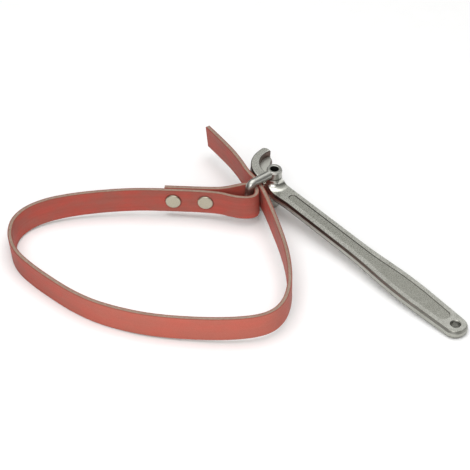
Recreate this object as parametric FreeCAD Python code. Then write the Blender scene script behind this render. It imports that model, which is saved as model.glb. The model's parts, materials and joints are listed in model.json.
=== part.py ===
import FreeCAD
import Part
import math
import os

from FreeCAD import Placement, Rotation, Vector

# Strap type oil filter wrench, in millimetres, lying on a table.
#
# Tool frame: X along the handle from the pivot to the hang hole, Y across it, Z up the pivot,
# with the pivot's middle at the origin. Handle, shackle, pivot tube and washers are drawn there.
# Strap frame: X and Y in the plane of the strap's loop, Z across the strap's width, with the
# shackle's bar at the origin. The strap's plies and rivets are drawn there.
# Row frame: Z up from the table, origin at the middle of the underside of the whole wrench.

# Handle: a drop forging, near upright at its parting line and bevelled to both faces
HANDLE_THICK = 7.0
SHANK_HALF = 8.6
GRIP_HALF = 11.65
END_HALF = 8.95
HANDLE_END = 210.8
UPRIGHT_HALF = 1.4
DRAFT_INSET = 0.1
BEVEL_INSET = 0.95
EDGE_BREAK = 0.25
PANEL_DEPTH = 0.6
PANEL_WALL = 0.45
HANG_HOLE_R = 3.6
HANG_HOLE_X = 201.8
HANG_HOLE_CHAMFER = 0.6

# Cam jaw: a raised band round the back of the handle's head
JAW_HALF_HEIGHT = 9.0
JAW_CENTRE = (-7.7, 15.9)
JAW_OUTER_R = 25.2
JAW_POCKET_CENTRE = (-9.5, 16.5)
JAW_POCKET_R = 17.1
JAW_TIP_Y = 19.9
JAW_STOPS_AT = -2.0
JAW_INSET = 0.35
JAW_ROUND = 1.0

# Pivot: boss on the handle, hollow tube with rolled rims, washers, shackle eyes
PIVOT_LENGTH = 35.3
BOSS_R = 6.2
BOSS_FLARE = 6.3
BOSS_TOP = 10.0
BOSS_CHAMFER = 0.4
TUBE_R = 4.1
TUBE_BORE_R = 3.3
TUBE_CLEARANCE = 0.05
RIM_R = 5.7
RIM_ROUND = 0.5
WASHER_R = 6.3
WASHER_THICK = 0.5
EYE_R = 6.1
EYE_BOTTOM = 10.6
EYE_TOP = 16.8
EYE_ROUND = 0.6

# Shackle: a U of round rod whose bar stands in the strap's eye
ROD_R = 3.3
ARM_LEVEL = 14.2
BEND_R = 4.2
SHACKLE_REACH = 25.1

# Strap: a laminated belt, a core between two facings
STRAP_WIDTH = 20.0
STRAP_THICK = 3.5
FACING_THICK = 0.6
BEND_SHARE = 0.5

# The lap: the belt's end, folded back round the bar, lies along the main run and is riveted to it
LAP_START = (-24.6, -2.5)
LAP_END = (-72.6, 2.5)
LAP_GAP = 0.1
FOLD_BEGINS = 3.0
FOLD_ENDS = 40.6
RIVETS_ALONG = {"eye": 8.8, "end": 33.8}
RIVET_HEAD_R = 6.0
RIVET_CAP_R = 5.6
RIVET_SHANK_R = 2.4
RIVET_SUNK = 0.3
RIVET_PROUD = 0.9
RIVET_TAIL = 0.4

# How the wrench lies: the pivot's lower rim and the handle's end touch the table, and the strap's
# loop falls away from the shackle until its far side touches the table too
HANDLE_HEADING = -49.53
END_CONTACT = 209.4
STRAP_RISES_TOWARDS = 41.2
STRAP_TILT = 2.6

# Corners of the belt's middle line, each rounded by an arc that is tangent to both runs: the eye
# round the bar, and then, past the lap, the loop and the strand past the jaw to the loose tail
EYE_CORNERS = [(-17.6, 1.9), (-7.9, 4.7), (-1.2, 6.8), (5.3, 4.4), (7.1, -3.9), (4.5, -9.6),
               (-2.1, -10.8), (-11.6, -8.9)]
LOOP_CORNERS = [
    (-92.6, 3.2), (-114.6, 1.8), (-136.6, -1.3), (-155.6, -6.8), (-170.0, -15.7), (-178.1, -27.3),
    (-180.4, -39.5), (-179.2, -53.5), (-173.4, -68.5), (-161.6, -83.5), (-146.9, -98.7),
    (-130.1, -114.5), (-111.6, -127.3), (-90.6, -136.7), (-70.6, -142.9), (-47.6, -146.9),
    (-20.6, -149.2), (1.9, -148.0), (16.0, -142.9), (24.4, -132.5), (28.6, -118.8), (30.2, -102.5),
    (28.8, -77.5), (24.3, -52.5), (18.3, -27.5), (12.5, -4.4), (6.8, 10.8), (-0.4, 21.8),
    (-7.0, 39.5), (-16.8, 58.3), (-31.6, 81.5),
]


def direction(a, b):
    """Unit direction from point a to point b in the plane."""
    length = math.dist(a, b)
    return (b[0] - a[0]) / length, (b[1] - a[1]) / length


def ahead(point, heading, along, left=0.0):
    """The point reached by going along a heading, and then to the left of it."""
    return (point[0] + heading[0] * along - heading[1] * left,
            point[1] + heading[1] * along + heading[0] * left)


def turn_at(before, corner, after):
    """The angle turned to the left at a corner."""
    into, out = direction(before, corner), direction(corner, after)
    return math.atan2(into[0] * out[1] - into[1] * out[0], into[0] * out[0] + into[1] * out[1])


def corner_arc(before, corner, after, radius, left=0.0):
    """Start, middle and end of the arc that rounds a corner, on a line kept to the left of it.

    The radius is that of the arc on the corner's own line.
    """
    into, out = direction(before, corner), direction(corner, after)
    turn = turn_at(before, corner, after)
    side = math.copysign(1, turn)
    cut = radius * math.tan(abs(turn) / 2)
    centre = ahead(corner, into, -cut, side * radius)
    reach = radius - side * left
    start = ahead(centre, into, 0, -side * reach)
    end = ahead(centre, out, 0, -side * reach)
    return start, ahead(centre, direction(centre, corner), reach), end


def joined(arcs, level, closed):
    """Edges along a chain of arcs, each a start, middle and end, with straight runs between."""
    edges = []
    for i, arc in enumerate(arcs):
        start, middle, end = [Vector(x, y, level) for x, y in arc]
        if start.distanceToPoint(end) > 1e-4:
            edges.append(Part.Arc(start, middle, end).toShape())
        if closed or i + 1 < len(arcs):
            following = Vector(*arcs[(i + 1) % len(arcs)][0], level)
            if end.distanceToPoint(following) > 1e-4:
                edges.append(Part.makeLine(end, following))
    return edges


def outline(corners, level, inset=0.0):
    """Closed wire round corners given anticlockwise as x, y and radius, moved in by inset."""
    points = [(x, y) for x, y, _ in corners]
    following = points[1:] + points[:1]
    arcs = [corner_arc(points[i - 1], points[i], following[i], corners[i][2], inset)
            for i in range(len(points))]
    return Part.Wire(joined(arcs, level, True))


def post(radius, low, high, x=0.0, y=0.0):
    """Upright cylinder between two levels."""
    return Part.makeCylinder(radius, high - low, Vector(x, y, low))


def both_faces(half):
    """A half made above the middle plane, with its mirror image below it."""
    return half.fuse(half.mirror(Vector(0, 0, 0), Vector(0, 0, 1)))


def edges_at(shape, level):
    """The edges of a shape that lie wholly at one level."""
    return [e for e in shape.Edges
            if abs(e.BoundBox.ZMin - level) < 1e-4 and abs(e.BoundBox.ZMax - level) < 1e-4]


def mirrored(corners):
    """Corners above the middle line in the order they are met, then the same ones below it."""
    return [(x, -y, r) for x, y, r in reversed(corners)]


def jaw_corners():
    """The hook's mouth and tip, then two corners that carry its back through 80 degrees."""
    x, y = JAW_CENTRE
    lean = math.radians(10)
    tip_x = x - (JAW_OUTER_R + (JAW_TIP_Y - y) * math.sin(lean)) / math.cos(lean)
    reach = JAW_OUTER_R / math.cos(math.radians(20))
    middles = [math.radians(angle) for angle in (210, 250)]
    back = [(x + reach * math.cos(a), y + reach * math.sin(a), JAW_OUTER_R) for a in middles]
    return [(-12.9, 7.4, 7), (-23.5, JAW_TIP_Y + 0.4, 9), (tip_x, JAW_TIP_Y, 4)] + back


def handle_corners():
    """Round end, swelling grip and straight shank, then the head with its hooked jaw."""
    grip = [(HANDLE_END, END_HALF, 8.75), (148, GRIP_HALF, 350), (103, SHANK_HALF, 400)]
    foot = [(-2.5, JAW_CENTRE[1] - JAW_OUTER_R, 12), (3, -8.8, 12), (10.5, -9.8, 10),
            (24, -SHANK_HALF, 40)]
    return grip + jaw_corners() + foot + mirrored(grip)


def make_handle():
    corners = handle_corners()
    face = HANDLE_THICK / 2
    rim = face - EDGE_BREAK
    levels = {0: 0, UPRIGHT_HALF: DRAFT_INSET, rim: BEVEL_INSET, face: BEVEL_INSET + EDGE_BREAK}
    web = Part.makeLoft([outline(corners, *at) for at in levels.items()], True, True)

    foot = BOSS_R + BOSS_FLARE
    hollow = Part.makeTorus(foot, BOSS_FLARE, Vector(0, 0, face + BOSS_FLARE))
    boss = post(foot, 0, face + BOSS_FLARE).cut(hollow).fuse(post(BOSS_R, 0, BOSS_TOP))
    boss = boss.makeChamfer(BOSS_CHAMFER, edges_at(boss, BOSS_TOP))
    above_face = Part.Face(outline(corners, 0, BEVEL_INSET + EDGE_BREAK))
    above_face = above_face.extrude(Vector(0, 0, BOSS_TOP))
    boss = boss.common(above_face)

    jaw = Part.Face(outline(corners, 0, JAW_INSET)).extrude(Vector(0, 0, JAW_HALF_HEIGHT))
    jaw = jaw.cut(post(JAW_POCKET_R, -1, BOSS_TOP, *JAW_POCKET_CENTRE))
    jaw = jaw.common(Part.makeBox(60, 60, 20, Vector(JAW_STOPS_AT - 60, -30, -1)))
    jaw = jaw.makeFillet(JAW_ROUND, edges_at(jaw, JAW_HALF_HEIGHT))
    handle = both_faces(web.fuse([boss, jaw]))

    side = [(19.5, -3.4, 3.3), (112, -3.9, 200), (148, -7.2, 300), (194, -4.9, 4.8)]
    panel = side + mirrored(side)
    recess = Part.makeLoft([outline(panel, face - PANEL_DEPTH, PANEL_WALL),
                            outline(panel, face + PANEL_DEPTH, -PANEL_WALL)], True, True)
    mouth = Part.makeCone(HANG_HOLE_R, HANG_HOLE_R + 2 * HANG_HOLE_CHAMFER, 2 * HANG_HOLE_CHAMFER,
                          Vector(HANG_HOLE_X, 0, face - HANG_HOLE_CHAMFER))
    hang_hole = post(HANG_HOLE_R, -face, face, HANG_HOLE_X)
    bore = post(TUBE_R + TUBE_CLEARANCE, -BOSS_TOP, BOSS_TOP)
    return handle.cut([both_faces(recess), both_faces(mouth), hang_hole, bore])


def make_shackle():
    bar_y = -SHACKLE_REACH
    bend_y, bend_z = bar_y + BEND_R, ARM_LEVEL - BEND_R
    upright = post(ROD_R, 0, bend_z, 0, bar_y)
    section = Part.Face(Part.Wire(Part.makeCircle(ROD_R, Vector(0, bar_y, bend_z))))
    bend = section.revolve(Vector(0, bend_y, bend_z), Vector(-1, 0, 0), 90)
    arm = Part.makeCylinder(ROD_R, -bend_y, Vector(0, bend_y, ARM_LEVEL), Vector(0, 1, 0))
    eye = post(EYE_R, EYE_BOTTOM, EYE_TOP)
    eye = eye.makeFillet(EYE_ROUND, edges_at(eye, EYE_BOTTOM) + edges_at(eye, EYE_TOP))
    rim_seat = post(RIM_R, EYE_TOP, PIVOT_LENGTH / 2)
    half = upright.fuse([bend, arm, eye]).cut(rim_seat)
    return both_faces(half).cut(post(TUBE_R, -EYE_TOP, EYE_TOP))


def make_pivot_tube():
    half = PIVOT_LENGTH / 2
    tube = both_faces(post(TUBE_R, 0, EYE_TOP).fuse(post(RIM_R, EYE_TOP, half)))
    tube = tube.cut(post(TUBE_BORE_R, -half, half))
    return tube.makeFillet(RIM_ROUND, edges_at(tube, half) + edges_at(tube, -half))


def make_washer():
    washer = post(WASHER_R, EYE_BOTTOM - WASHER_THICK, EYE_BOTTOM)
    return washer.cut(post(TUBE_R + TUBE_CLEARANCE, 0, EYE_BOTTOM))


def belt_corners():
    """Corners of the belt's middle line, from the folded end to the loose tail."""
    heading = direction(LAP_START, LAP_END)
    spacing = STRAP_THICK + LAP_GAP
    fold = [ahead(LAP_START, heading, along, -spacing) for along in (FOLD_ENDS, FOLD_BEGINS)]
    return fold + EYE_CORNERS + [LAP_START, LAP_END] + LOOP_CORNERS


def belt_side(left, level):
    """The edges of the line that keeps a distance to the left of the belt's middle line."""
    corners = belt_corners()
    arcs = []
    for before, corner, after in zip(corners, corners[1:], corners[2:]):
        shorter = min(math.dist(before, corner), math.dist(corner, after))
        half_turn = abs(turn_at(before, corner, after)) / 2
        radius = BEND_SHARE * shorter / math.tan(half_turn)
        arcs.append(corner_arc(before, corner, after, radius, left))
    first = ahead(corners[0], direction(corners[0], corners[1]), 0, left)
    last = ahead(corners[-1], direction(corners[-2], corners[-1]), 0, left)
    return joined([(first,) * 3] + arcs + [(last,) * 3], level, False)


def make_ply(near, far):
    """One layer of the belt, between two distances to the left of its middle line."""
    level = -STRAP_WIDTH / 2
    right, left = belt_side(near, level), belt_side(far, level)
    ends = [Part.makeLine(right[0].firstVertex().Point, left[0].firstVertex().Point),
            Part.makeLine(right[-1].lastVertex().Point, left[-1].lastVertex().Point)]
    wire = Part.Wire(Part.__sortEdges__(right + left + ends))
    return Part.Face(wire).extrude(Vector(0, 0, STRAP_WIDTH))


def make_rivet(along):
    """A post with a wide low head, and its cap: Z is out of the main run's inner face, at 0."""
    stack = 2 * STRAP_THICK + LAP_GAP
    head = post(RIVET_HEAD_R, -RIVET_SUNK, RIVET_PROUD)
    head = head.makeFillet(RIVET_PROUD * 0.9, edges_at(head, RIVET_PROUD))
    cap = post(RIVET_CAP_R, -stack - RIVET_PROUD, -stack + RIVET_SUNK)
    cap = cap.makeFillet(RIVET_PROUD * 0.9, edges_at(cap, -stack - RIVET_PROUD))
    shank = post(RIVET_SHANK_R, -stack - RIVET_TAIL, 0)
    heading = direction(LAP_START, LAP_END)
    inwards = Vector(-heading[1], heading[0], 0)
    place = Vector(*ahead(LAP_START, heading, along, STRAP_THICK / 2), 0)
    pieces = [head.fuse(shank), cap.cut(shank)]
    for piece in pieces:
        piece.Placement = Placement(place, Rotation(Vector(0, 0, 1), inwards))
    return pieces


def make_strap():
    half, core = STRAP_THICK / 2, STRAP_THICK / 2 - FACING_THICK
    rivets = {name: make_rivet(along) for name, along in RIVETS_ALONG.items()}
    metal = [piece for pieces in rivets.values() for piece in pieces]
    plies = {"strap_inner_facing": (core, half), "strap_core": (-core, core),
             "strap_outer_facing": (-half, -core)}
    pieces = {name: make_ply(*sides).cut(metal) for name, sides in plies.items()}
    for name, (rivet, cap) in rivets.items():
        pieces["rivet_near_" + name] = rivet
        pieces["rivet_cap_near_" + name] = cap
    return pieces


# The tool frame heads across the table and tips down towards the handle's end
drop = PIVOT_LENGTH / 2 - HANDLE_THICK / 2
tip = Rotation(Vector(0, 1, 0), math.degrees(math.atan(drop / (END_CONTACT - RIM_R))))
tool = Placement(Vector(0, 0, 0), Rotation(Vector(0, 0, 1), HANDLE_HEADING) * tip)
bar = tool.multVec(Vector(0, -SHACKLE_REACH, 0))
rise = math.radians(STRAP_RISES_TOWARDS)
belt = Placement(bar, Rotation(Vector(math.sin(rise), -math.cos(rise), 0), STRAP_TILT))

upper_washer = make_washer()
in_tool = {
    "handle": make_handle(), "shackle": make_shackle(), "pivot_tube": make_pivot_tube(),
    "upper_washer": upper_washer,
    "lower_washer": upper_washer.mirror(Vector(0, 0, 0), Vector(0, 0, 1)),
}
nodes = {}
for frame, shapes in ((tool, in_tool), (belt, make_strap())):
    for name, shape in shapes.items():
        solid = shape.removeSplitter().Solids[0]
        solid.Placement = frame * solid.Placement
        nodes[name] = solid

box = Part.makeCompound(list(nodes.values())).optimalBoundingBox()
to_row = Vector(-box.Center.x, -box.Center.y, -box.ZMin)
os.makedirs("parts", exist_ok=True)
for name, shape in nodes.items():
    shape.translate(to_row)
    shape.exportStep("parts/" + name + ".step")

print("size", box.XLength, box.YLength, box.ZLength)
print("handle's direction", tuple(tool.Rotation.multVec(Vector(1, 0, 0))))
print("pivot's direction", tuple(tool.Rotation.multVec(Vector(0, 0, 1))))
for name, x, y in (("bar", 0, -SHACKLE_REACH), ("pivot", 0, 0), ("hang hole", HANG_HOLE_X, 0)):
    print(name, "at", tuple(tool.multVec(Vector(x, y, 0)) + to_row))
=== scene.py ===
import json
import math

import bpy
import numpy as np
from mathutils import Matrix, Vector


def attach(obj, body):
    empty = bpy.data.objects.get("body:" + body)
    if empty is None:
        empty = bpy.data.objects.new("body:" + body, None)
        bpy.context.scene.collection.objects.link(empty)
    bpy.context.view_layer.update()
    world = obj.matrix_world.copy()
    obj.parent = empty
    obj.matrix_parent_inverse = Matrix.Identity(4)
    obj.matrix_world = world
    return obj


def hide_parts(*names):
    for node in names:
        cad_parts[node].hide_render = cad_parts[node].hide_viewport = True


# An oil filter strap wrench on a pale table. The metal is the CAD's own. The belt is made here,
# ply by ply, along the same route as the CAD belt. All sizes are in metres.

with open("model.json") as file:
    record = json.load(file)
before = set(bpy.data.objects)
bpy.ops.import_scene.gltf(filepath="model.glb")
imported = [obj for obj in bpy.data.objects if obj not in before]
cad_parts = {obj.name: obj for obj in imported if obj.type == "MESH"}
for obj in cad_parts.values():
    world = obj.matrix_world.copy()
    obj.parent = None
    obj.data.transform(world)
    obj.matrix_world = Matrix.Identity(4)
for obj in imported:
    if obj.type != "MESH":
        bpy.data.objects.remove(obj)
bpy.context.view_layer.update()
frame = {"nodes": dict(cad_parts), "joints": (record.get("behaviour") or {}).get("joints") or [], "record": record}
joints = {joint["name"]: joint for joint in frame["joints"]}
BAR = Vector(joints["link_swing"]["pos_m"])
PIVOT = Vector(joints["handle_pivot"]["pos_m"])
TOOL_UP = Vector(joints["handle_pivot"]["axis"]).normalized()
HOLE = Vector(next(m for m in frame["record"]["mounts"] if m["name"] == "hang_hole")["pos_m"])
TOOL_ALONG = (HOLE - PIVOT).normalized()
TOOL_ACROSS = TOOL_UP.cross(TOOL_ALONG)
MM = 0.001

# The handle, as in the CAD: the jaw's round hollow, the heights of its faces above its middle
# plane, the foot of its boss, and a radius just outside the pivot tube's bore
JAW_HOLLOW = PIVOT + (TOOL_ACROSS * 16.5 - TOOL_ALONG * 9.5) * MM
JAW_HOLLOW_R = 17.1 * MM
UPRIGHT_HALF = 1.4 * MM
PANEL_LEVEL = 2.9 * MM
WEB_HALF = 3.5 * MM
BOSS_FOOT_R = 12.5 * MM
BORE_R = 3.5 * MM

# ---------------------------------------------------------------- camera

VIEW_DOWN = math.radians(38)
VIEW_DISTANCE = 1.7687
LOOK_AT = BAR - Vector((10.6, 22.5, 17.95)) * MM

camera_data = bpy.data.cameras.new("camera")
camera_data.lens = 176.2
camera_data.sensor_width = 36
camera_data.clip_end = 20
camera = bpy.data.objects.new("camera", camera_data)
bpy.context.scene.collection.objects.link(camera)
back = Vector((0, -math.cos(VIEW_DOWN), math.sin(VIEW_DOWN)))
camera.location = LOOK_AT + back * VIEW_DISTANCE
camera.rotation_euler = (math.pi / 2 - VIEW_DOWN, 0, 0)
bpy.context.scene.camera = camera

# ---------------------------------------------------------------- belt: route and placement

# The strap frame has its origin on the shackle's bar, X and Y in the plane of the loop and Z
# across the belt's width, as in the CAD.
STRAP_RISES_TOWARDS = math.radians(41.2)
STRAP_TILT = math.radians(2.6)
TILT_AXIS = Vector((math.sin(STRAP_RISES_TOWARDS), -math.cos(STRAP_RISES_TOWARDS), 0))
TO_ROW = Matrix.Translation(BAR) @ Matrix.Rotation(STRAP_TILT, 4, TILT_AXIS)

WIDTH = 20.0 * MM
THICK = 3.5 * MM
FACING = 0.6 * MM
LAP_GAP = 0.1 * MM

# The route of the belt's middle line, in millimetres: x, y, and how far the belt's upper edge
# leans out of the loop there
LAP_START, LAP_END = Vector((-24.6, -2.5)), Vector((-72.6, 2.5))
FOLD_BEGINS, FOLD_ENDS = 3.0, 40.6
EYE = [(-17.6, 1.9, 0), (-7.9, 4.7, 0), (-1.2, 6.8, 0), (5.3, 4.4, 0), (7.1, -3.9, 0),
       (4.5, -9.6, 0), (-2.1, -10.8, 0), (-11.6, -8.9, 0)]
LOOP = [
    (-92.6, 3.2, 0), (-114.6, 1.8, 0.1), (-136.6, -1.3, 0.3), (-155.6, -6.8, 0.6),
    (-170.0, -15.7, 0.8),
    (-178.1, -27.3, 0.8), (-180.4, -39.5, 0.8), (-179.2, -53.5, 0.7), (-173.4, -68.5, 0.5),
    (-161.6, -83.5, 0.4), (-146.9, -98.7, 0.4), (-130.1, -114.5, 0.4), (-111.6, -127.3, 0.3),
    (-90.6, -136.7, 0.2), (-70.6, -142.9, 0.2), (-47.6, -146.9, 0.2), (-20.6, -149.2, 0.2),
    (1.9, -148.0, 0.4), (16.0, -142.9, 0.6), (24.4, -132.5, 0.6), (28.6, -118.8, 0.4),
    (30.2, -102.5, 0.2),
    (28.8, -77.5, 0.1), (24.3, -52.5, 0), (18.3, -27.5, 0), (12.5, -4.4, -0.1), (6.8, 10.8, -0.1),
    (-0.4, 21.8, -0.1), (-7.0, 39.5, -0.4), (-16.8, 58.3, -0.6), (-31.6, 81.5, -0.6),
]
RIVETS_ALONG = (8.8, 33.8)
RIVET_HEAD_R = 6.0 * MM
RIVET_SUNK = 0.35 * MM
EDGE_SOFT = 0.28 * MM
CORE_SHORT = 0.08 * MM


def lap_point(along, left=0.0):
    """A point of the lap: along it from its start, and to the left of the main run."""
    heading = (LAP_END - LAP_START).normalized()
    return LAP_START + heading * along + Vector((-heading.y, heading.x)) * left


def route():
    """Points of the belt's middle line with its lean, read from one smooth spline."""
    spacing = (THICK + LAP_GAP) / MM
    fold = [(*lap_point(along, -spacing), 0) for along in (FOLD_ENDS, FOLD_BEGINS)]
    corners = fold + EYE + [(*LAP_START, 0), (*LAP_END, 0)] + LOOP
    curve = bpy.data.curves.new("route", "CURVE")
    curve.dimensions = "3D"
    curve.resolution_u = 24
    spline = curve.splines.new("NURBS")
    spline.points.add(len(corners) - 1)
    for point, (x, y, lean) in zip(spline.points, corners):
        point.co = (x, y, lean, 1)
    spline.order_u = 3
    spline.use_endpoint_u = True
    holder = bpy.data.objects.new("route", curve)
    mesh = bpy.data.meshes.new_from_object(holder)
    points = np.array([v.co[:] for v in mesh.vertices])
    bpy.data.objects.remove(holder)
    return points * MM


def evenly(points, step):
    """The same line with its points a step apart, and the distance of each from the start."""
    runs = np.linalg.norm(np.diff(points[:, :2], axis=0), axis=1)
    travelled = np.concatenate([[0], np.cumsum(runs)])
    at = np.linspace(0, travelled[-1], round(travelled[-1] / step) + 1)
    return np.stack([np.interp(at, travelled, points[:, k]) for k in range(3)], 1), at


ROUTE, ALONG = evenly(route(), 1.1 * MM)
tangent = np.gradient(ROUTE[:, :2], axis=0)
tangent /= np.linalg.norm(tangent, axis=1)[:, None]
LEFT = np.stack([-tangent[:, 1], tangent[:, 0]], 1)

# Past the folded end and the eye, the belt passes the rivets again
PAST_EYE = np.searchsorted(ALONG, (FOLD_ENDS + 40) * MM)


def travelled_to(spot):
    """How far along the belt its main run comes nearest a point of the strap's plane."""
    away = np.linalg.norm(ROUTE[PAST_EYE:, :2] - spot, axis=1)
    return ALONG[PAST_EYE + np.argmin(away)]


RIVETS_AT = [travelled_to(lap_point(along) * MM) for along in RIVETS_ALONG]

# The red is painted lighter on the part of the loop opposite the tool, a painted light on the loop's front where
# it faces the key lamp, and painted shade darkens it close round each rivet
LIT_FRONT_MIDDLE = 470 * MM
LIT_FRONT_REACH, LIT_FRONT_CORE = 160 * MM, 60 * MM
RIVET_SHADE_WIDTH = 1.0 * MM


def ripple(at, seed, size, waves):
    """A smooth random line along the belt, the same in each run."""
    rng = np.random.default_rng(seed)
    total = np.zeros_like(at)
    for length in waves:
        total += np.sin(at * 2 * math.pi / length + rng.uniform(0, 2 * math.pi))
    return total * size / len(waves)


def dimple(points, normals):
    """Presses points on the belt's left face in round the rivets' heads and caps."""
    heading = (LAP_END - LAP_START).normalized()
    for along in RIVETS_ALONG:
        centre = np.array([*(lap_point(along) * MM), 0])
        away = points - centre
        run = away @ np.array([heading.x, heading.y, 0])
        near = np.abs(away @ np.array([-heading.y, heading.x, 0])) < 2.2 * THICK
        distance = np.hypot(run, away[:, 2])
        past = np.clip(distance - RIVET_HEAD_R, 0, None) / (1.6 * MM)
        points = points - normals * (RIVET_SUNK * np.exp(-past ** 2) * near)[:, None]
    return points


def ply_mesh(name, near, far, near_open, far_open, top):
    """A ply of the belt between two distances to the left of the middle line.

    An open side is a face of the belt, so its edges are rounded and it is finely divided.
    """
    half = WIDTH / 2

    def side(at, opened, outwards):
        if not opened:
            return [(at, -top), (at, top)]
        fine = np.linspace(-half + 0.8 * MM, half - 0.8 * MM, 19)
        bevel = [(at - outwards * EDGE_SOFT, -half),
                 (at - outwards * 0.1 * MM, -half + 0.06 * MM), (at, -half + EDGE_SOFT)]
        return bevel + [(at, h) for h in fine] + [(a, -h) for a, h in reversed(bevel)]

    ring = side(far, far_open, 1) + side(near, near_open, -1)[::-1]
    rows, count = len(ROUTE), len(ring)
    offset = np.array([o for o, _ in ring])
    height = np.array([h for _, h in ring])
    grown = 1 + ripple(ALONG, 7, 0.004, (0.011, 0.017, 0.029, 0.047, 0.083))
    lean = ROUTE[:, 2]
    sideways = offset[None] - lean[:, None] * (height / half)[None]
    flat = ROUTE[:, None, :2] + LEFT[:, None] * sideways[..., None]
    up = height[None] * grown[:, None]
    points = np.concatenate([flat, up[..., None]], 2).reshape(-1, 3)
    normals = np.concatenate([np.repeat(LEFT, count, 0), np.zeros((rows * count, 1))], 1)
    if far_open:
        face = np.tile(offset > far - 0.05 * MM, rows)
        points[face] = dimple(points[face], normals[face])
    placed = [TO_ROW @ Vector(p) for p in points]
    start = np.arange(rows - 1)[:, None] * count + np.arange(count)[None]
    following = np.arange(rows - 1)[:, None] * count + (np.arange(count)[None] + 1) % count
    faces = np.stack([start, following, following + count, start + count], 2)
    faces = faces.reshape(-1, 4).tolist()
    faces += [list(range(count))[::-1], [(rows - 1) * count + i for i in range(count)]]
    mesh = bpy.data.meshes.new(name)
    mesh.from_pydata(placed, [], faces)
    mesh.validate()
    lay = mesh.attributes.new("belt", "FLOAT_VECTOR", "POINT")
    belt = np.stack([np.repeat(ALONG, count), up.ravel(), np.tile(offset, rows)], 1)
    lay.data.foreach_set("vector", belt.astype(np.float32).ravel())
    mesh.shade_smooth()
    mesh.set_sharp_from_angle(angle=math.radians(40))
    piece = bpy.data.objects.new(name, mesh)
    bpy.context.scene.collection.objects.link(piece)
    return piece


# ---------------------------------------------------------------- materials

class Nodes:
    """Short ways to add shader nodes to one material."""

    def __init__(self, name):
        self.material = bpy.data.materials.new(name)
        self.material.use_nodes = True
        self.tree = self.material.node_tree
        self.shader = self.tree.nodes["Principled BSDF"]

    def add(self, kind, inputs=None, **settings):
        node = self.tree.nodes.new(kind)
        for name, value in settings.items():
            setattr(node, name, value)
        for name, value in (inputs or {}).items():
            self.link(value, node.inputs[name])
        return node

    def link(self, value, socket):
        if isinstance(value, bpy.types.NodeSocket):
            self.tree.links.new(value, socket)
        else:
            socket.default_value = value

    def noise(self, where, scale, detail=4.0, rough=0.55):
        return self.add("ShaderNodeTexNoise", {"Vector": where, "Scale": scale, "Detail": detail,
                                               "Roughness": rough}).outputs["Fac"]

    def between(self, value, low, high, to_low=0.0, to_high=1.0):
        node = self.add("ShaderNodeMapRange", {"Value": value, "From Min": low, "From Max": high,
                                               "To Min": to_low, "To Max": to_high})
        return node.outputs["Result"]

    def math(self, operation, a, b=0.0):
        return self.add("ShaderNodeMath", {0: a, 1: b}, operation=operation).outputs[0]

    def vector(self, operation, where, other=(0, 0, 0)):
        return self.add("ShaderNodeVectorMath", {0: where, 1: tuple(other)},
                        operation=operation).outputs

    def dot(self, where, direction):
        return self.vector("DOT_PRODUCT", where, direction)["Value"]

    def stretch(self, where, scale):
        return self.vector("MULTIPLY", where, scale)["Vector"]

    def length(self, where):
        return self.vector("LENGTH", where)["Value"]

    def mix(self, fac, a, b):
        node = self.add("ShaderNodeMix", {"Factor": fac}, data_type="RGBA")
        colours = [socket for socket in node.inputs if socket.type == "RGBA"]
        self.link(a, colours[0])
        self.link(b, colours[1])
        return next(socket for socket in node.outputs if socket.type == "RGBA")

    def bump(self, height, distance, strength=1.0, under=None):
        inputs = {"Height": height, "Distance": distance, "Strength": strength}
        if under is not None:
            inputs["Normal"] = under
        return self.add("ShaderNodeBump", inputs).outputs["Normal"]

    def finish(self, **sockets):
        for name, value in sockets.items():
            self.link(value, self.shader.inputs[name.replace("_", " ")])
        return self.material


def colour(r, g, b):
    """A colour given as it looks on a screen, from 11 to 255, for a shader."""
    linear = [((c / 255 + 0.055) / 1.055) ** 2.4 for c in (r, g, b)]
    return (*linear, 1)


def facing_material():
    n = Nodes("strap_facing")
    where = n.add("ShaderNodeAttribute", attribute_name="belt").outputs["Vector"]
    cloud = n.noise(n.stretch(where, (14, 30, 1)), 3.0, 5)
    streak = n.noise(n.stretch(where, (12, 420, 1)), 1.0, 4)
    grain = n.noise(where, 2600, 3, 0.6)
    scuff = n.noise(n.stretch(where, (160, 900, 1)), 1.0, 5, 0.7)
    red = n.mix(n.between(cloud, 0.38, 0.6), colour(184, 84, 72), colour(162, 94, 82))
    red = n.mix(n.between(streak, 0.4, 0.7, 0, 0.5), red, colour(156, 78, 66))
    # painted light: the loop's front run, opposite the tool, is mixed towards a lighter red
    along = n.dot(where, (1, 0, 0))
    from_lit_front = n.math("ABSOLUTE", n.math("SUBTRACT", along, LIT_FRONT_MIDDLE))
    front_light = n.between(from_lit_front, LIT_FRONT_REACH, LIT_FRONT_CORE, 0, 0.5)
    red = n.mix(front_light, red, colour(206, 118, 100))
    # painted shade: a dark ring round each rivet head, where the belt is pressed in
    for rivet in RIVETS_AT:
        offset = n.vector("SUBTRACT", where, (rivet, 0, 0))["Vector"]
        away = n.length(n.stretch(offset, (1, 1, 0)))
        shade = n.between(away, RIVET_HEAD_R + RIVET_SHADE_WIDTH, RIVET_HEAD_R, 0, 0.75)
        red = n.mix(shade, red, colour(88, 46, 40))
    red = n.mix(n.between(scuff, 0.62, 0.8, 0, 0.35), red, colour(206, 140, 120))
    red = n.mix(n.between(grain, 0.3, 0.75, 0, 0.35), red, colour(138, 58, 48))
    across = n.math("ABSOLUTE", n.dot(where, (0, 1, 0)))
    rim = n.between(across, WIDTH / 2 - 0.5 * MM, WIDTH / 2 - 0.1 * MM)
    red = n.mix(n.math("MULTIPLY", rim, 0.55), red, colour(120, 62, 50))
    rough = n.between(grain, 0.2, 0.8, 0.48, 0.66)
    normal = n.bump(grain, 0.00006, 0.5)
    normal = n.bump(streak, 0.0002, 0.35, normal)
    return n.finish(Base_Color=red, Roughness=rough, Normal=normal, Specular_IOR_Level=0.2)


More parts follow.
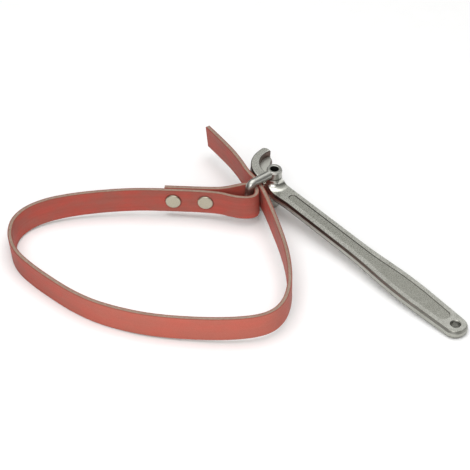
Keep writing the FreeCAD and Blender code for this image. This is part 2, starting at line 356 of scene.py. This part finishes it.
def core_material():
    n = Nodes("strap_core")
    where = n.add("ShaderNodeAttribute", attribute_name="belt").outputs["Vector"]
    fibre = n.noise(n.stretch(where, (350, 900, 2600)), 1.0, 5, 0.65)
    patch = n.noise(n.stretch(where, (60, 60, 60)), 1.0, 4)
    beige = n.mix(n.between(fibre, 0.3, 0.7), colour(112, 90, 78), colour(180, 160, 144))
    beige = n.mix(n.between(patch, 0.4, 0.7, 0, 0.5), beige, colour(136, 106, 92))
    offset = n.math("ABSOLUTE", n.dot(where, (0, 0, 1)))
    seam = n.between(offset, 0.85 * MM, 1.15 * MM, 0, 0.5)
    beige = n.mix(seam, beige, colour(100, 72, 60))
    normal = n.bump(fibre, 0.0002, 0.8)
    return n.finish(Base_Color=beige, Roughness=0.9, Normal=normal, Specular_IOR_Level=0.2)


def tool_height(n, where):
    """Height of a surface point above the tool's middle plane, either way."""
    above = n.math("SUBTRACT", n.dot(where, TOOL_UP), PIVOT.dot(TOOL_UP))
    return n.math("ABSOLUTE", above)


def from_pivot(n, where, centre=PIVOT):
    """Distance of a surface point from the pivot's axis, or from a line beside it."""
    offset = n.vector("SUBTRACT", where, centre)["Vector"]
    return n.length(n.vector("CROSS_PRODUCT", offset, TOOL_UP)["Vector"])


def forged_material():
    """Cleaned forged flats, and rougher sides, a painted dark reflection on the bevels, panel floor, and in the
    jaw hollow a painted light on its floor and a painted dark reflection on its wall.
    """
    n = Nodes("forged_steel")
    where = n.add("ShaderNodeTexCoord").outputs["Object"]
    facing = n.add("ShaderNodeNewGeometry").outputs["Normal"]
    peel = n.noise(where, 260, 3)
    fine = n.noise(where, 1500, 4, 0.6)
    blotch = n.noise(where, 90, 4)
    level = tool_height(n, where)
    radius = from_pivot(n, where)
    upright = n.between(n.math("ABSOLUTE", n.dot(facing, TOOL_UP)), 0.95, 0.75)
    past_boss = n.between(radius, BOSS_FOOT_R, BOSS_FOOT_R + 3.5 * MM)
    rough_forged = n.math("MULTIPLY", upright, past_boss)
    above_side = n.between(level, UPRIGHT_HALF - 0.1 * MM, UPRIGHT_HALF + 0.1 * MM)
    bevel = n.math("MULTIPLY", above_side, rough_forged)
    off_panel = n.math("ABSOLUTE", n.math("SUBTRACT", level, PANEL_LEVEL))
    panel = n.math("LESS_THAN", off_panel, 0.12 * MM)
    stipple = n.noise(where, 1300, 2, 0.7)
    grey = n.mix(n.between(peel, 0.3, 0.7), colour(198, 198, 190), colour(214, 214, 206))
    grey = n.mix(n.between(blotch, 0.45, 0.7, 0, 0.4), grey, colour(172, 172, 162))
    grey = n.mix(n.math("MULTIPLY", panel, 0.6), grey, colour(170, 170, 160))
    pits = n.math("MULTIPLY", panel, n.between(stipple, 0.42, 0.55, 0.3, 0))
    grey = n.mix(pits, grey, colour(110, 110, 102))
    grey = n.mix(n.math("MULTIPLY", rough_forged, 0.6), grey, colour(136, 136, 128))
    # painted dark reflection on the bevels, strongest near the pivot and fading towards the handle's end
    bevel_reflection_fade = n.between(radius, 60 * MM, 170 * MM, 0.9, 0.25)
    grey = n.mix(n.math("MULTIPLY", bevel, bevel_reflection_fade), grey, colour(84, 80, 76))
    # painted light: the open floor of the jaw beside the boss is mixed lighter against the hollow's shade
    behind = n.math("SUBTRACT", PIVOT.dot(TOOL_ALONG), n.dot(where, TOOL_ALONG))
    in_jaw = n.math("MULTIPLY", n.between(behind, 3 * MM, 6 * MM),
                    n.between(radius, BOSS_FOOT_R, BOSS_FOOT_R + 1.5 * MM))
    on_web = n.between(level, WEB_HALF + 1.0 * MM, WEB_HALF + 0.5 * MM)
    floor = n.math("MULTIPLY", in_jaw, on_web)
    jaw_floor_painted_light = n.math("MULTIPLY", floor, n.math("SUBTRACT", 1.0, upright))
    grey = n.mix(jaw_floor_painted_light, grey, colour(206, 206, 198))
    # painted dark reflection on the wall of the jaw's round hollow
    hollow = n.between(from_pivot(n, where, JAW_HOLLOW), JAW_HOLLOW_R + 0.5 * MM,
                       JAW_HOLLOW_R + 0.2 * MM)
    hollow_wall_reflection = n.math("MULTIPLY", hollow, bevel)
    grey = n.mix(n.math("MULTIPLY", hollow_wall_reflection, 0.8), grey, colour(98, 78, 70))
    rough = n.between(fine, 0.25, 0.75, 0.24, 0.32)
    rough = n.math("ADD", rough, n.math("MULTIPLY", rough_forged, 0.1))
    rough = n.math("ADD", rough, n.math("MULTIPLY", jaw_floor_painted_light, 0.12))
    normal = n.bump(peel, 0.0004, 0.1)
    normal = n.bump(fine, 0.00004, 0.15, normal)
    normal = n.bump(n.math("MULTIPLY", stipple, panel), 0.0004, 0.15, normal)
    return n.finish(Base_Color=grey, Metallic=1.0, Roughness=rough, Normal=normal)


def plated_material(name, low, high, rough_low, rough_high, bore_shade=False):
    """Plated steel between two greys and two roughnesses, with painted shade and more roughness inside the bore
    where there is one.
    """
    n = Nodes(name)
    where = n.add("ShaderNodeTexCoord").outputs["Object"]
    peel = n.noise(where, 350, 3)
    fine = n.noise(where, 2200, 4, 0.6)
    grey = n.mix(n.between(fine, 0.3, 0.7), low, high)
    rough = n.between(fine, 0.25, 0.75, rough_low, rough_high)
    if bore_shade:
        # painted shade inside the pivot tube's bore, which is also made rougher
        inside = n.between(from_pivot(n, where), BORE_R, BORE_R - 0.15 * MM)
        grey = n.mix(inside, grey, colour(70, 70, 66))
        rough = n.math("ADD", rough, n.math("MULTIPLY", inside, 0.4))
    normal = n.bump(peel, 0.0003, 0.25)
    normal = n.bump(fine, 0.00003, 0.3, normal)
    return n.finish(Base_Color=grey, Metallic=1.0, Roughness=rough, Normal=normal)


MATERIALS = {
    "strap_facing": facing_material(),
    "strap_core": core_material(),
    "forged_steel": forged_material(),
    "shackle_steel": plated_material("shackle_steel", colour(166, 166, 160), colour(190, 190, 184),
                                     0.32, 0.42),
    "pivot_steel": plated_material("pivot_steel", colour(176, 176, 170), colour(200, 200, 194),
                                   0.16, 0.26, bore_shade=True),
    "washer_steel": plated_material("washer_steel", colour(140, 140, 132), colour(168, 168, 160),
                                    0.25, 0.35),
    "rivet_nickel": plated_material("rivet_nickel", colour(166, 162, 144), colour(190, 186, 168),
                                    0.3, 0.45),
}

# ---------------------------------------------------------------- belt and metal

half, core = THICK / 2, THICK / 2 - FACING
plies = [
    ("strap_outer_facing", -half, -core, True, False, WIDTH / 2, "strap_facing"),
    ("strap_core", -core, core, False, False, WIDTH / 2 - CORE_SHORT, "strap_core"),
    ("strap_inner_facing", core, half, False, True, WIDTH / 2, "strap_facing"),
]
for node, near, far, near_open, far_open, top, slot in plies:
    ply = ply_mesh("belt_" + node, near, far, near_open, far_open, top)
    ply.data.materials.append(MATERIALS[slot])
    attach(ply, "strap")
    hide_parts(node)

for subpart in frame["record"]["subparts"]:
    node = frame["nodes"][subpart["node"]]
    if not subpart["node"].startswith("strap"):
        for material_slot in node.material_slots:
            material_slot.material = MATERIALS[subpart["material_slot"]]

# ---------------------------------------------------------------- table and light

table_mesh = bpy.data.meshes.new("table")
reach = 6.0
corners = [(-reach, -reach, 0), (reach, -reach, 0), (reach, reach, 0), (-reach, reach, 0)]
table_mesh.from_pydata(corners, [], [(0, 1, 2, 3)])
table = bpy.data.objects.new("table", table_mesh)
bpy.context.scene.collection.objects.link(table)
paint = Nodes("table")
speckle = paint.noise(paint.add("ShaderNodeTexCoord").outputs["Object"], 60, 3)
table.data.materials.append(paint.finish(
    Base_Color=paint.mix(speckle, colour(246, 246, 246), colour(250, 250, 250)), Roughness=0.9,
    Specular_IOR_Level=0.1))


def softbox(name, place, target, size, power):
    light = bpy.data.lights.new(name, "AREA")
    light.shape, light.size, light.size_y, light.energy = "RECTANGLE", *size, power
    lamp = bpy.data.objects.new(name, light)
    lamp.location = place
    lamp.rotation_euler = (Vector(target) - Vector(place)).to_track_quat("-Z", "Y").to_euler()
    bpy.context.scene.collection.objects.link(lamp)


softbox("overhead", (-0.1, 0.0, 1.5), (0, 0, 0), (1.8, 1.8), 16)
softbox("key", (-0.08, -0.75, 0.44), (0, -0.1, 0), (0.5, 0.4), 2.9)

world = bpy.data.worlds.new("studio")
world.use_nodes = True
world_tree = world.node_tree
sky = world_tree.nodes.new("ShaderNodeTexCoord")
height = world_tree.nodes.new("ShaderNodeSeparateXYZ")
shade = world_tree.nodes.new("ShaderNodeValToRGB")
horizon, zenith = shade.color_ramp.elements
horizon.position, horizon.color = 0.0, (0.02, 0.02, 0.02, 1)
zenith.position, zenith.color = 0.95, (0.9, 0.9, 0.9, 1)
for position, light in ((0.2, 0.05), (0.5, 0.30)):
    stop = shade.color_ramp.elements.new(position)
    stop.color = (light, light, light * 0.95, 1)
world_tree.links.new(sky.outputs["Generated"], height.inputs["Vector"])
world_tree.links.new(height.outputs["Z"], shade.inputs["Fac"])
world_tree.links.new(shade.outputs["Color"], world_tree.nodes["Background"].inputs["Color"])
world_tree.nodes["Background"].inputs["Strength"].default_value = 1.0
bpy.context.scene.world = world
bpy.context.scene.view_settings.view_transform = "Standard"
